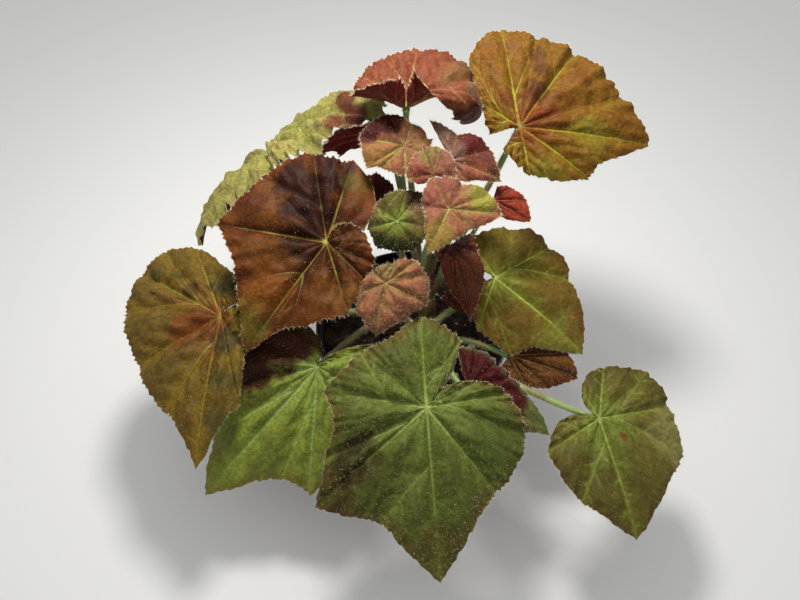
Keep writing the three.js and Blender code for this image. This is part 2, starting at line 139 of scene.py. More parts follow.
POT_SIDES, DRAIN_SIDES = 120, 24
POT = [
    (0, 0.8), (20, 0.8), (39, 0.8), (41.5, 0.1), (43.2, 0), (44, 0.5), (44.4, 2),
    (47.5, 22), (51, 44), (54.4, 66), (57.4, 82.4), (57.8, 83), (59.4, 83), (60, 83.6),
    (60, 93.6), (59.8, 94.6), (59.2, 95), (58.6, 94.6), (58.4, 93.8), (58.4, 85), (57.8, 84.6),
    (56.2, 84.6), (56.1, 83), (49.5, 44), (42.6, 3.2), (41.4, 2.4), (20, 2.4), (0, 2.4),
]
DRAIN_HOLES, DRAIN_RADIUS, DRAIN_CIRCLE, DRAIN_FROM, DRAIN_TO = 6, 4, 30, -4, 6
plastic, tree, shader = new_finish("moulded_black_polypropylene")
# Polypropylene moulds with a faint satin orange-peel about a millimetre across, and dust dulls it.
place = add(tree, "TexCoord").outputs["Object"]
dust = add(tree, "TexNoise", {"Vector": place, "Scale": 38, "Detail": 6}).outputs["Fac"]
dusty = add(tree, "MapRange", {"Value": dust, "From Min": 0.45, "From Max": 0.75})
tone = add(tree, "Mix", {0: dusty.outputs[0], 6: linear("#171718"), 7: linear("#2b2927")}, data_type="RGBA")
grain = add(tree, "TexNoise", {"Vector": place, "Scale": 900, "Detail": 2})
peel = add(tree, "Bump", {"Height": grain.outputs["Fac"], "Strength": 0.25, "Distance": 0.0002})
gloss = add(tree, "MapRange", {"Value": dust, "To Min": 0.34, "To Max": 0.56})
join(tree, shader, {"Base Color": tone.outputs[2], "Roughness": gloss.outputs[0], "Normal": peel.outputs[0]})
pot = build("pot_wall", *lathe(POT, POT_SIDES), [plastic], smooth=35)
drains = []
for i in range(DRAIN_HOLES):
    turn = i * 2 * np.pi / DRAIN_HOLES
    drain = [(0, DRAIN_FROM), (DRAIN_RADIUS, DRAIN_FROM), (DRAIN_RADIUS, DRAIN_TO), (0, DRAIN_TO)]
    points, faces = lathe(drain, DRAIN_SIDES)
    drains.append((points + [DRAIN_CIRCLE * np.sin(turn), DRAIN_CIRCLE * np.cos(turn), 0], faces))
punch = build("drain_punch", *gather(drains), [plastic])
cut = pot.modifiers.new("drains", "BOOLEAN")
cut.operation, cut.solver, cut.object = "DIFFERENCE", "EXACT", punch
bpy.context.view_layer.update()
cut_mesh = bpy.data.meshes.new_from_object(pot.evaluated_get(bpy.context.evaluated_depsgraph_get()))
pot.modifiers.clear()
pot.data = cut_mesh
bpy.data.objects.remove(punch)
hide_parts("pot")

# ---------------- potting mix
# Damp peat and composted bark: a dark crumbly fill that mounds a little round the stems,
# with chips of bark and a few white grains of perlite on top.
draw = np.random.default_rng(7)
SOIL_FOOT, SOIL_EDGE, SOIL_BASE, SOIL_WALL, SOIL_RIM, SOIL_TOP = 42, 55.6, 2.8, 81, 82.5, 88.0
SOIL_RINGS, SOIL_SIDES, CHIPS, PERLITE_SHARE = 60, 160, 420, 0.12


def ripple(x, y, size, waves, draw):
    """A sum of plane waves in random directions, near the given wavelength in mm, about -1 to 1."""
    turn, phase = draw.uniform(0, 2 * np.pi, (2, waves))
    number = 2 * np.pi / (size * draw.uniform(0.7, 1.4, waves))
    spread = x[..., None] * np.cos(turn) + y[..., None] * np.sin(turn)
    return np.sin(spread * number + phase).sum(-1) / np.sqrt(waves)


def soil_height(x, y):
    """The mound falls from the middle to the edge as a cosine, and is broken by clods."""
    out = np.clip(np.hypot(x, y) / SOIL_EDGE, 0, 1)
    mound = SOIL_RIM + (SOIL_TOP - SOIL_RIM) * 0.5 * (1 + np.cos(np.pi * out))
    clods = ripple(x, y, 9, 6, np.random.default_rng(3))
    crumbs = ripple(x, y, 3.5, 8, np.random.default_rng(4))
    return mound + 0.8 * (clods + 0.6 * crumbs) * (1 - out ** 8)


out, turn = np.meshgrid(SOIL_EDGE * np.linspace(0, 1, SOIL_RINGS + 1)[1:],
                        2 * np.pi * np.arange(SOIL_SIDES) / SOIL_SIDES, indexing="ij")
x, y = out * np.sin(turn), out * np.cos(turn)
top = np.stack([x, y, soil_height(x, y)], -1)
side = np.stack([np.sin(turn[0]), np.cos(turn[0])], -1)
wall = [np.column_stack([side * radius, np.full(SOIL_SIDES, z)])
        for radius, z in ((SOIL_EDGE, SOIL_WALL), (SOIL_FOOT, SOIL_BASE))]
peak = float(soil_height(np.zeros(1), np.zeros(1))[0])
points = np.vstack([top.reshape(-1, 3), *wall, [[0, 0, peak], [0, 0, SOIL_BASE]]])
faces = tube_faces(SOIL_RINGS + 2, SOIL_SIDES)
compost, tree, shader = new_finish("damp_peat_and_bark")
# Wet peat is nearly black and dull, with browner fibres and crumbs about 2 mm across.
place = add(tree, "TexCoord").outputs["Object"]
crumbs = add(tree, "TexVoronoi", {"Vector": place, "Scale": 480})
damp = add(tree, "TexNoise", {"Vector": place, "Scale": 120, "Detail": 8})
brown = add(tree, "MapRange", {"Value": damp.outputs["Fac"], "From Min": 0.4, "From Max": 0.7})
tone = add(tree, "Mix", {0: brown.outputs[0], 6: linear("#15100c"), 7: linear("#4a3424")}, data_type="RGBA")
rough = add(tree, "Bump", {"Height": crumbs.outputs["Distance"], "Strength": 0.9, "Distance": 0.0012})
join(tree, shader, {"Base Color": tone.outputs[2], "Normal": rough.outputs[0], "Roughness": 0.92})


def plain_finish(name, code, roughness):
    """A material of one colour and one roughness."""
    finish, tree, shader = new_finish(name)
    join(tree, shader, {"Base Color": linear(code), "Roughness": roughness})
    return finish


bark = plain_finish("composted_bark_chip", "#5a3b26", 0.85)
perlite = plain_finish("expanded_perlite_grain", "#d9d6cc", 0.9)


def crumb_field(count, draw):
    """Rough octahedra strewn over the mound: each corner of a unit octahedron is stretched by its
    own random length and the whole is turned at random."""
    corner = np.array([[1, 0, 0], [-1, 0, 0], [0, 1, 0], [0, -1, 0], [0, 0, 1], [0, 0, -1]])
    shape = corner * draw.uniform(0.6, 1.2, (count, 6, 1))
    stretch = draw.uniform(0.5, 1.6, (count, 1, 3)) * draw.uniform(0.5, 1.5, (count, 1, 1))
    basis = np.linalg.qr(draw.normal(size=(count, 3, 3)))[0]
    basis[:, :, 0] *= np.sign(np.linalg.det(basis))[:, None]
    out, turn = (SOIL_EDGE - 3) * np.sqrt(draw.uniform(0, 1, count)), draw.uniform(0, 2 * np.pi, count)
    x, y = out * np.sin(turn), out * np.cos(turn)
    seat = np.stack([x, y, soil_height(x, y) + 0.2], -1)
    points = (shape * stretch) @ basis.transpose(0, 2, 1) + seat[:, None]
    side = np.array([[0, 2, 4], [2, 1, 4], [1, 3, 4], [3, 0, 4], [2, 0, 5], [1, 2, 5], [3, 1, 5], [0, 3, 5]])
    return points.reshape(-1, 3), (side[None] + 6 * np.arange(count)[:, None, None]).reshape(-1, 3).tolist()


chips = crumb_field(CHIPS, draw)
kinds = np.repeat((draw.random(CHIPS) < PERLITE_SHARE) + 1, 8)
soil = build("potting_mix", *gather([(points, faces), chips]), [compost, bark, perlite],
             [0] * len(faces) + kinds.tolist(), smooth=60)
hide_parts("soil")

# ---------------- green leaves
# The two big front blades: soft green tissue on palmate veins, quilted between the forks of the
# veins, cut into fine teeth at the margin and covered with short pale hairs on both faces.

# A tooth is cut TOOTH mm deep at most. A panel's swell peaks at PUFF_PEAK of the way out, and the
# face is smooth for about HUB_CALM mm round the hub. USUAL holds what a leaf's own table leaves out.
TOOTH, PUFF_PEAK, HUB_CALM, BLADE_MM, RIB_MM, HUB_MM = 2.0, 0.75, 6, 0.5, 0.9, 1.2
USUAL = dict(overlap=0, closing=1, tooth=0.8, puff=0.11, quilt=0.017, crumple=0.006, channel=1.1,
             wave=0.016, hairs=0.35, stains_and_shade=())


def compass(degrees):
    """Unit vector on the ground: 0 to the back, 90 to the right."""
    turn = np.radians(degrees)
    return np.stack([np.sin(turn), np.cos(turn), 0 * turn], -1)


def unit(vectors):
    """Each vector at length 1."""
    return vectors / np.linalg.norm(vectors, axis=-1, keepdims=True)


def blade_axes(leaf):
    """The blade's own axes: up leans from vertical, along is the tip's direction in its plane."""
    towards, tilt = leaf["leans"]
    up = compass(towards) * np.sin(radians(tilt)) + [0, 0, np.cos(radians(tilt))]
    along = compass(leaf["tip"])
    along = unit(along - along.dot(up) * up)
    return np.cross(along, up), along, up


def blade_surface(leaf, draw):
    """Rows of the leaf's table are directions from the hub: angle from the tip, length, slope at the
    hub and at the margin, and dip. Between two of them angle, length and slopes run evenly, and the
    margin dips as a half sine. Along a direction the slope turns from its hub value to its margin
    value with the square of the share walked, and its cosine and sine are summed to reach and rise.
    The last panel sweeps on under the first by the overlap. Each panel swells as a sine to the power
    1.3. The main veins keep to their rows, and every other row's vein leaves the nearest main vein
    part of the way out and runs straight to the margin. Small swellings fill the spaces between the
    forks of the veins, the veins lie in channels, and waves crumple the face and curl the margin."""
    rows = np.array(leaf["veins"], float)
    size = rows[:, 1].max()
    width = np.radians(np.diff(rows[:, 0]))
    arc = width * (rows[1:, 1] + rows[:-1, 1]) / 2
    pitch = 2.2 + 0.013 * size
    counts = 4 * np.clip(np.round(arc / pitch), 3, 15).astype(int)
    sector = np.append(np.repeat(np.arange(len(counts)), counts), len(counts) - 1)
    first = np.append(0, np.cumsum(counts))
    even = (np.arange(first[-1] + 1) - first[sector]) / counts[sector]
    t = even - 0.04 * np.sin(2 * np.pi * even)
    left, right = rows[sector], rows[sector + 1]
    angle, length, hub_slope, edge_slope = (left + (right - left) * t[:, None]).T[:4]
    length = length - left[:, 4] * np.sin(np.pi * t)
    rings = int(np.clip(size / 1.9, 16, 44))
    share = np.linspace(0, 1, rings + 1)[1:]
    middle = share - 0.5 / rings
    slope = np.radians(hub_slope[:, None] + (edge_slope - hub_slope)[:, None] * middle ** 2)
    reach = length[:, None] * np.cumsum(np.cos(slope), 1) / rings
    rise = length[:, None] * np.cumsum(np.sin(slope), 1) / rings
    sweep = leaf["overlap"] * share ** leaf["closing"]
    angle = angle[:, None] + sweep * (sector == len(counts) - 1)[:, None] * t[:, None]

    # four columns make a tooth, with a long side and a short one
    tooth = np.arange(first[-1] + 1) / 4
    part = tooth - np.floor(tooth)
    notch = np.where(part < 0.6, part / 0.6, (1 - part) / 0.4)
    uneven = draw.uniform(0.3, 1.1, len(tooth) // 4 + 2)[np.floor(tooth).astype(int)]
    trim = notch * TOOTH * leaf["tooth"] * uneven
    trim += 0.5 * np.sin(tooth * 1.7) ** 2 + 0.6 * np.sin(tooth * 0.61) ** 2
    reach -= (trim * np.clip(size / 50, 0.7, 1))[:, None] * share ** 14

    swell = leaf["puff"] * (1 - (share / PUFF_PEAK - 1) ** 2)
    rise = rise + (length * width[sector] * np.sin(np.pi * t) ** 1.3)[:, None] * swell
    last = np.arange(len(rows)) == len(rows) - 1
    bearing = rows[:, 0] + last * sweep[:, None]
    mains = np.array(leaf.get("mains", range(1, len(rows) - 1)))
    parent = mains[np.abs(rows[:, :1] - rows[mains, 0]).argmin(1)]
    leave = draw.uniform(0.15, 0.38, len(rows))
    way = np.clip((share[:, None] - leave) / ((1 - leave) * share[:, None]), 0, 1)
    away = angle[:, :, None] - (bearing[:, parent] + (bearing - bearing[:, parent]) * way)
    near = np.abs(away).argmin(2)
    away = np.take_along_axis(away, near[:, :, None], 2)[:, :, 0]
    vein_mm = np.radians(np.abs(away)) * reach
    shift = draw.uniform(0, 1, (len(rows), 2))[near, (away > 0).astype(int)]
    forks = 2.4 + size / 40
    fork = (share - 1.25 * (vein_mm / length[:, None]) ** 1.1) * forks + shift
    calm = 1 - np.exp(-vein_mm / (0.03 * size))
    between = 1 - np.exp(-vein_mm / (0.07 * size))
    blend = np.clip(1.5 - vein_mm / (0.11 * size), 0, 1)
    quilt = leaf["quilt"] * size * np.clip((1 - share) * 5, 0.3, 1)
    rise = rise + quilt * (np.sin(np.pi * fork) ** 2 * blend + 0.5 * (1 - blend)) * calm
    x, y = reach * np.sin(np.radians(angle)), reach * np.cos(np.radians(angle))
    crumple = ripple(x, y, 4 + size / 7, 9, draw) + 0.5 * ripple(x, y, 2.5 + size / 16, 9, draw)
    rise = rise + leaf["crumple"] * size * crumple * calm
    channel = leaf["channel"] * np.clip(size / 50, 0.4, 1) * (1 - np.exp(-reach / 5))
    rise = rise - channel * np.exp(-(vein_mm / (1.2 + size / 45)) ** 2) * (1 - 0.6 * share)
    rise = rise + leaf["wave"] * size * ripple(angle * size / 57, 0 * reach, 11, 5, draw) * share ** 5

    across, along, up = blade_axes(leaf)
    grid = x[..., None] * across + y[..., None] * along + rise[..., None] * up + np.array(leaf["hub"])
    normal = unit(np.cross(np.gradient(grid, axis=0), np.gradient(grid, axis=1)))
    steady = np.exp(-((length[:, None] * share) / HUB_CALM) ** 2)[..., None]
    normal = unit(normal * (1 - steady) + up * steady)
    thin = np.where(parent == np.arange(len(rows)), 1, 0.6)[near]
    vein_width = (0.3 + 0.005 * size) * (1 - 0.72 * share) * thin
    marks = {
        "vein": vein_mm / vein_width,
        "fork": fork,
        "fork_scale": 0.62 * length[:, None] / forks / (0.5 * vein_width + 0.1),
        "between": between,
        "share": share + 0 * reach,
        "edge": (1 - share) * length[:, None],
    }
    return grid, normal, marks


def skin_finish(name, look, sheen):
    """Hairy leaf skin: two close colours in soft clouds, and over them, read from the blade's own
    measures, the tint between the veins, at the hub, at the margin and beside the veins (on the red
    looks a dark painted shade along the vein channels), then the forks, the veins and the pale rim,
    any stain patches, some of them painted shade or painted shadow, and the pale foot of each hair."""
    finish, tree, shader = new_finish(name)
    place = add(tree, "TexCoord").outputs["Object"]
    vein, fork, fork_scale, between, share, edge = (
        add(tree, "Attribute", attribute_name=mark).outputs["Fac"]
        for mark in ("vein", "fork", "fork_scale", "between", "share", "edge"))
    # sizes in mm; the cells are finer on the real leaf and are drawn this coarse to show
    clouds, mottle, feet, cells = (
        add(tree, kind, {"Vector": place, "Scale": 1000 / size, **inputs}, **settings).outputs[out]
        for kind, size, inputs, settings, out in (
            ("TexNoise", 18, {"Detail": 5, "Roughness": 0.6}, {}, "Fac"),
            ("TexNoise", 2.2, {"Detail": 4}, {}, "Fac"),
            ("TexVoronoi", 2.4, {}, {}, "Distance"),
            ("TexVoronoi", 1.4, {}, {"feature": "SMOOTH_F1"}, "Distance")))

    def band(value, full, none):
        """A soft mask: 1 where the value is at full, and 0 where it is at none."""
        ends = {"From Min": full, "From Max": none, "To Min": 1.0, "To Max": 0.0}
        return add(tree, "MapRange", {"Value": value, **ends}, interpolation_type="SMOOTHSTEP").outputs[0]

    def waver(value, by):
        """The value, moved to and fro by the clouds."""
        shift = add(tree, "Math", {0: clouds, 1: 0.5}, operation="SUBTRACT").outputs[0]
        return add(tree, "Math", {0: shift, 1: by, 2: value}, operation="MULTIPLY_ADD").outputs[0]

    fold = add(tree, "Math", {0: fork, 1: 0.5}, operation="PINGPONG").outputs[0]
    near_fork = add(tree, "Math", {0: fold, 1: fork_scale}, operation="MULTIPLY").outputs[0]
    fork_fade = band(between, 0.35, 0.85)
    # beside the veins: a pale halo on the green and gold looks; on the red looks a dark painted shade in the
    # channels along the veins
    beside = add(tree, "Math", {0: band(near_fork, 1.0, 6.0), 1: fork_fade}, operation="MULTIPLY")
    beside = add(tree, "Math", {0: band(vein, 1.5, 8.0), 1: beside.outputs[0]}, operation="MAXIMUM")
    line, reach = band(vein, 0.5, 1.6), look["hub_reach"]
    layers = [
        ([band(clouds, 0.6, 0.4)], 1.0, look["cloud"]),
        ([band(waver(between, 1.2), 0.9, 0.25)], look["middle_amount"], look["middle"]),
        ([band(waver(share, 0.6), 0.3 * reach, reach)], look["hub_amount"], look["hub"]),
        ([band(waver(edge, 20), 1.0, look["margin_mm"])], look["margin_amount"], look["margin"]),
        ([beside.outputs[0]], look["flank_amount"], look["flank"]),
        ([band(near_fork, 0.4, 1.6), fork_fade], look["fork_amount"], look["vein"]),
        ([line, band(share, 0.35, 1.15)], look["vein_amount"], look["vein"]),
        ([line, band(share, 0.05, 0.4)], look["heart_amount"], look["heart"]),
        ([band(share, 0.015, 0.06)], look["heart_amount"], "#a8ae5c"),
        ([band(edge, 0.2, 0.9), band(mottle, 0.6, 0.42)], look["rim_amount"], look["rim"]),
    ]
    # stain patches: real spots and patches, and on some blades dark patches of painted shade and painted
    # shadow cast by the leaves above
    for centre, radius, hue, amount in look["stains_and_shade"]:
        centre, radius = [c / 1000 for c in centre], radius / 1000
        away = add(tree, "VectorMath", {0: place, 1: centre}, operation="DISTANCE")
        away = waver(away.outputs["Value"], 2.4 * radius)
        layers.append(([band(away, 0.6 * radius, 1.3 * radius)], amount, hue))
    layers.append(([band(feet, 0.05, 0.17), band(mottle, 0.35, 0.6)], 0.14, "#b9b491"))
    colour = linear(look["base"])
    for masks, amount, hue in layers:
        for mask in masks:
            amount = add(tree, "Math", {0: mask, 1: amount}, operation="MULTIPLY").outputs[0]
        colour = add(tree, "Mix", {0: amount, 6: colour, 7: linear(hue)}, data_type="RGBA").outputs[2]
    ends = {"From Min": 0.3, "From Max": 0.7, "To Min": 0.7, "To Max": 1.3}
    speckle = add(tree, "MapRange", {"Value": mottle, **ends}).outputs[0]
    colour = add(tree, "VectorMath", {0: colour, "Scale": speckle}, operation="SCALE")
    grain = add(tree, "Math", {0: cells, 1: -1.0, 2: mottle}, operation="MULTIPLY_ADD")
    bump = add(tree, "Bump", {"Height": grain.outputs[0], "Strength": 0.7, "Distance": 0.0004})
    gloss = add(tree, "MapRange", {"Value": mottle, "To Min": 0.45, "To Max": 0.75})
    join(tree, shader, {
        "Base Color": colour.outputs[0], "Roughness": gloss.outputs[0], "Normal": bump.outputs[0],
        "Specular IOR Level": 0.14, "Sheen Weight": sheen, "Sheen Roughness": 0.4,
        "Sheen Tint": linear("#d8cba0")})
    return finish


# Leaf hairs are hollow colourless cells, which catch the light as cream-white bristles.
hair = plain_finish("pale_leaf_hair", "#ddd2b4", 0.4)
HAIR_RADIUS, FRINGE_RADIUS, LOWER_SHARE, FRINGE_HAIRS = 0.06, 0.085, 0.3, 2


def spokes(way, near, turn):
    """Unit vectors square to each way, at angles about it. At angle 0 they are square to near too."""
    aside = unit(np.cross(way, near))
    return np.cos(turn) * aside + np.sin(turn) * np.cross(way, aside)


def bristles(root, way, length, radius):
    """A slim three-sided spike on each root: three corners round the root, and the tip a length
    along its way. Returns points and triangles."""
    turn = 2 * np.pi * np.arange(3)[:, None] / 3
    foot = root[:, None] + np.reshape(radius, (-1, 1, 1)) * spokes(way[:, None], [0.3, 0.5, 0.81], turn)
    tip = root + way * length[:, None]
    points = np.concatenate([foot, tip[:, None]], 1).reshape(-1, 3)
    side = np.array([[0, 1, 3], [1, 2, 3], [2, 0, 3], [0, 2, 1]])
    return points, (side[None] + 4 * np.arange(len(root))[:, None, None]).reshape(-1, 3).tolist()


def blade_hairs(grid, normal, draw, per_square_mm):
    """Hairs at random places of both faces, thicker towards the margin, and a fringe on the teeth."""
    columns, rings = grid.shape[:2]
    size = np.prod([np.linalg.norm(np.gradient(grid, axis=way), axis=-1) for way in (0, 1)], 0)
    count = int(size.sum() * per_square_mm)
    pick = draw.choice(size.size, count, p=(size / size.sum()).ravel())
    column, ring = np.minimum(pick // rings, columns - 2), np.minimum(pick % rings, rings - 2)
    a, b = draw.random((2, count, 1))
    root = (grid[column, ring] * (1 - a) + grid[column + 1, ring] * a) * (1 - b)
    root += (grid[column, ring + 1] * (1 - a) + grid[column + 1, ring + 1] * a) * b
    lower = (draw.random(count) < LOWER_SHARE)[:, None]
    lean = normal[column, ring] * np.where(lower, -1, 1) + draw.normal(0, 0.35, (count, 3))
    root = root - normal[column, ring] * np.where(lower, BLADE_MM, 0.02)
    fringe = np.repeat(grid[:, -1] - 0.2 * normal[:, -1], FRINGE_HAIRS, 0)
    away = unit(np.repeat(grid[:, -1] - grid[:, -2], FRINGE_HAIRS, 0))
    away = away + draw.normal(0, 0.4, away.shape)
    root, lean = np.vstack([root, fringe]), unit(np.vstack([lean, away]))
    on_face = np.arange(len(root)) < count
    length = draw.uniform(0.8, 1.8, len(root)) * np.where(on_face, 0.7, 1.0)
    return bristles(root, lean, length, np.where(on_face, HAIR_RADIUS, FRINGE_RADIUS))


def mark_points(piece, name, values):
    """Keeps one number for each point of a piece, for its finish to read."""
    layer = piece.data.attributes.new(name, "FLOAT", "POINT")
    layer.data.foreach_set("value", np.asarray(values, np.float32))


def grow(leaf):
    """Makes one leaf blade: upper face, lower face BLADE_MM under it and RIB_MM further along the
    veins, a rim that joins them, and the hairs."""
    leaf = {**USUAL, **leaf}
    name, look, hub, up = leaf["name"], leaf["look"], np.array(leaf["hub"]), blade_axes(leaf)[2]
    draw = np.random.default_rng(sum(map(ord, name)))
    grid, normal, marks = blade_surface(leaf, draw)
    columns, rings = grid.shape[:2]
    rib = BLADE_MM + RIB_MM * np.exp(-(marks["vein"] / 0.9) ** 2) * (1 - 0.75 * marks["share"])
    below = grid - normal * rib[..., None]
    points = np.vstack([grid.reshape(-1, 3), hub, below.reshape(-1, 3), hub - HUB_MM * up])
    count = columns * rings + 1
    at = np.arange(columns * rings).reshape(columns, rings)
    squares = np.stack([at[:-1, :-1], at[1:, :-1], at[1:, 1:], at[:-1, 1:]], -1).reshape(-1, 4)
    fan = np.stack([np.full(columns - 1, count - 1), at[1:, 0], at[:-1, 0]], -1)
    edge = np.concatenate([[count - 1], at[0], at[1:, -1], at[-1, :-1][::-1]])
    after = np.roll(edge, -1)
    rim = np.stack([edge, after, after + count, edge + count], -1)
    faces = squares.tolist() + fan.tolist()
    upper = len(faces)
    faces += (squares[:, ::-1] + count).tolist() + (fan[:, ::-1] + count).tolist() + rim.tolist()
    tufts = blade_hairs(grid, normal, draw, leaf["hairs"])
    finishes = [skin_finish("upper_skin_of_" + name, {**look, "stains_and_shade": leaf["stains_and_shade"]}, 0.015),
                skin_finish("lower_skin_of_" + name, {**look, **look["under"], "stains_and_shade": ()}, 0.1), hair]
    finish_of = [0] * upper + [1] * upper + [0] * len(rim) + [2] * len(tufts[1])
    piece = build(name.replace("leaf", "blade"), *gather([(points, faces), tufts]), finishes, finish_of)
    for mark, value in marks.items():
        hub_value = 0.0 if mark != "fork_scale" else value.mean()
        both = np.append(value.ravel(), hub_value)
        mark_points(piece, mark, np.concatenate([both, both, np.zeros(len(tufts[0]))]))
    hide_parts(name)


CRIMSON = dict(base="#5a1713", cloud="#7a231a", middle="#4a1210", hub="#7a2a1e", margin="#6a1f16",
    margin_amount=0.3, flank="#6a1f18", vein="#a0583c")
GREEN = dict(base="#555e22", cloud="#50561f", middle="#3c3a14", middle_amount=0.4, hub="#60712f",
    hub_reach=0.5, hub_amount=0.5, margin="#5a441d", margin_mm=10.0, margin_amount=0.6, flank="#6b7430",
    flank_amount=0.4, vein="#82964a", vein_amount=0.5, fork_amount=0.08, heart="#a3b36a", heart_amount=0.5,
    rim="#a89a70", rim_amount=0.6, under=CRIMSON)
BRIGHT = dict(GREEN, base="#7b862d", cloud="#6f782b", middle="#5f6023", hub="#7f9440", margin="#75601f",
    flank="#829042", vein="#92a862", vein_amount=0.65)
GREEN_LEAVES = [
    dict(look=GREEN, name="leaf_front", stem="front", hub=(6, -78, 130), tip=177, leans=(180, 25),
         mains=(2, 4, 5, 7, 9, 11), tooth=0.6, quilt=0.013, crumple=0.003, channel=2.6,
         # The dark brown patches in the lower-left folds are partly brown pigment and partly painted shade in
         # the creases.
         stains_and_shade=(((-28, -102, 117), 14, "#31260e", 0.6), ((-38, -115, 107), 13, "#38220c", 0.65),
                 ((12, -135, 99), 10, "#44300f", 0.5), ((42, -98, 124), 18, "#3e4c18", 0.5),
                 ((-38, -101, 114), 5, "#261a0a", 0.7), ((-31, -95, 119), 4, "#261a0a", 0.7),
                 ((-24, -90, 123), 4, "#2e220c", 0.6), ((-35, -110, 111), 4, "#261a0a", 0.7),
                 ((-27, -105, 115), 4, "#261a0a", 0.7), ((-18, -101, 119), 4, "#2e220c", 0.6)),
         veins=[(-141, 12, 0, -5, 2), (-114, 30, 5, -5, 0), (-96, 43, 5, -12, 0), (-70, 54, 5, -20, 0),
                (-36, 56, 5, -20, 8), (-1, 87, 0, -20, 3), (25, 63, 0, -20, 3), (52, 78, 0, -25, 3),
                (66, 61, 0, -25, 9), (102, 55, 5, -20, 2), (133, 46, 5, -25, 6), (180, 51, 0, -30, 0),
                (212, 40, 5, -25, 2), (223, 19, 0, -10, 0)]),
    dict(look=BRIGHT, name="leaf_front_left", stem="left", hub=(-54, -43, 112), tip=200, leans=(185, 38),
         mains=(3, 4, 6, 8, 9), hairs=0.2, tooth=0.7, quilt=0.012, crumple=0.003, channel=2.4,
         # These patches are partly a red-brown patch of its own and partly the painted shadow that the big
         # red leaf above casts on this blade's upper left.
         stains_and_shade=(((-94, -38, 109), 21, "#351206", 0.97), ((-78, -31, 117), 18, "#351206", 0.97),
                 ((-64, -30, 121), 13, "#3a1a0a", 0.9)),
         veins=[(-153, 9, 0, -5, 0), (-135, 34, 0, -10, 2), (-86, 43, 0, -15, 1), (-42, 54, 0, -15, 1),
                (-18, 78, 0, -20, 3), (-4, 72, 0, -20, 8), (19, 106, 0, -20, 2), (34, 80, 0, -30, 1),
                (55, 60, 0, -35, 1), (88, 42, 0, -25, 1), (137, 28, 0, -20, 1), (176, 10, 0, -10, 0)]),
]
for leaf in GREEN_LEAVES:
    grow(leaf)

# ---------------- red-brown leaves
# Older blades that colour red in strong light: one large one left of the middle, and the narrow
# and half-hidden ones under the crown, with crimson backs.
# RED's dark flank is painted shade in the channels along the veins; BROWN, DARK, WINE, BRACT and ROSE take it
# too.
RED = dict(base="#4f230a", cloud="#5e320d", middle="#653f12", middle_amount=0.5, hub="#200906", hub_reach=0.6,
    hub_amount=0.6, margin="#66300e", margin_mm=10.0, margin_amount=0.5, flank="#2a0c06", flank_amount=0.55,
    vein="#807a30", vein_amount=0.75, fork_amount=0.1, heart="#94642c", heart_amount=0.6, rim="#c0a878",
    rim_amount=0.75, under=CRIMSON)
BROWN = dict(RED, base="#552f16", cloud="#613f19", hub="#3a1d0e", vein="#7d5f30")
DARK = dict(RED, base="#582115", cloud="#6d311b", middle="#672916", hub="#481913", margin="#67291c",
    vein="#884930", heart_amount=0.0)
# WINE is DARK made darker; on the arched blade at the top this darkness is partly its crimson back and partly
# painted shade.
WINE = dict(DARK, base="#43120d", cloud="#4e1813", middle="#340e0b", hub="#340e0b", margin="#581d16",
    vein="#6a2a20")
BRACT = dict(WINE, margin="#66704f", margin_mm=6.0, margin_amount=0.9, vein="#52201a", rim="#c8c49a")
ROSE = dict(DARK, base="#74271a", cloud="#8e3a20", middle="#86311a", hub="#5f1e17", margin="#863122",
    vein="#b0573a")
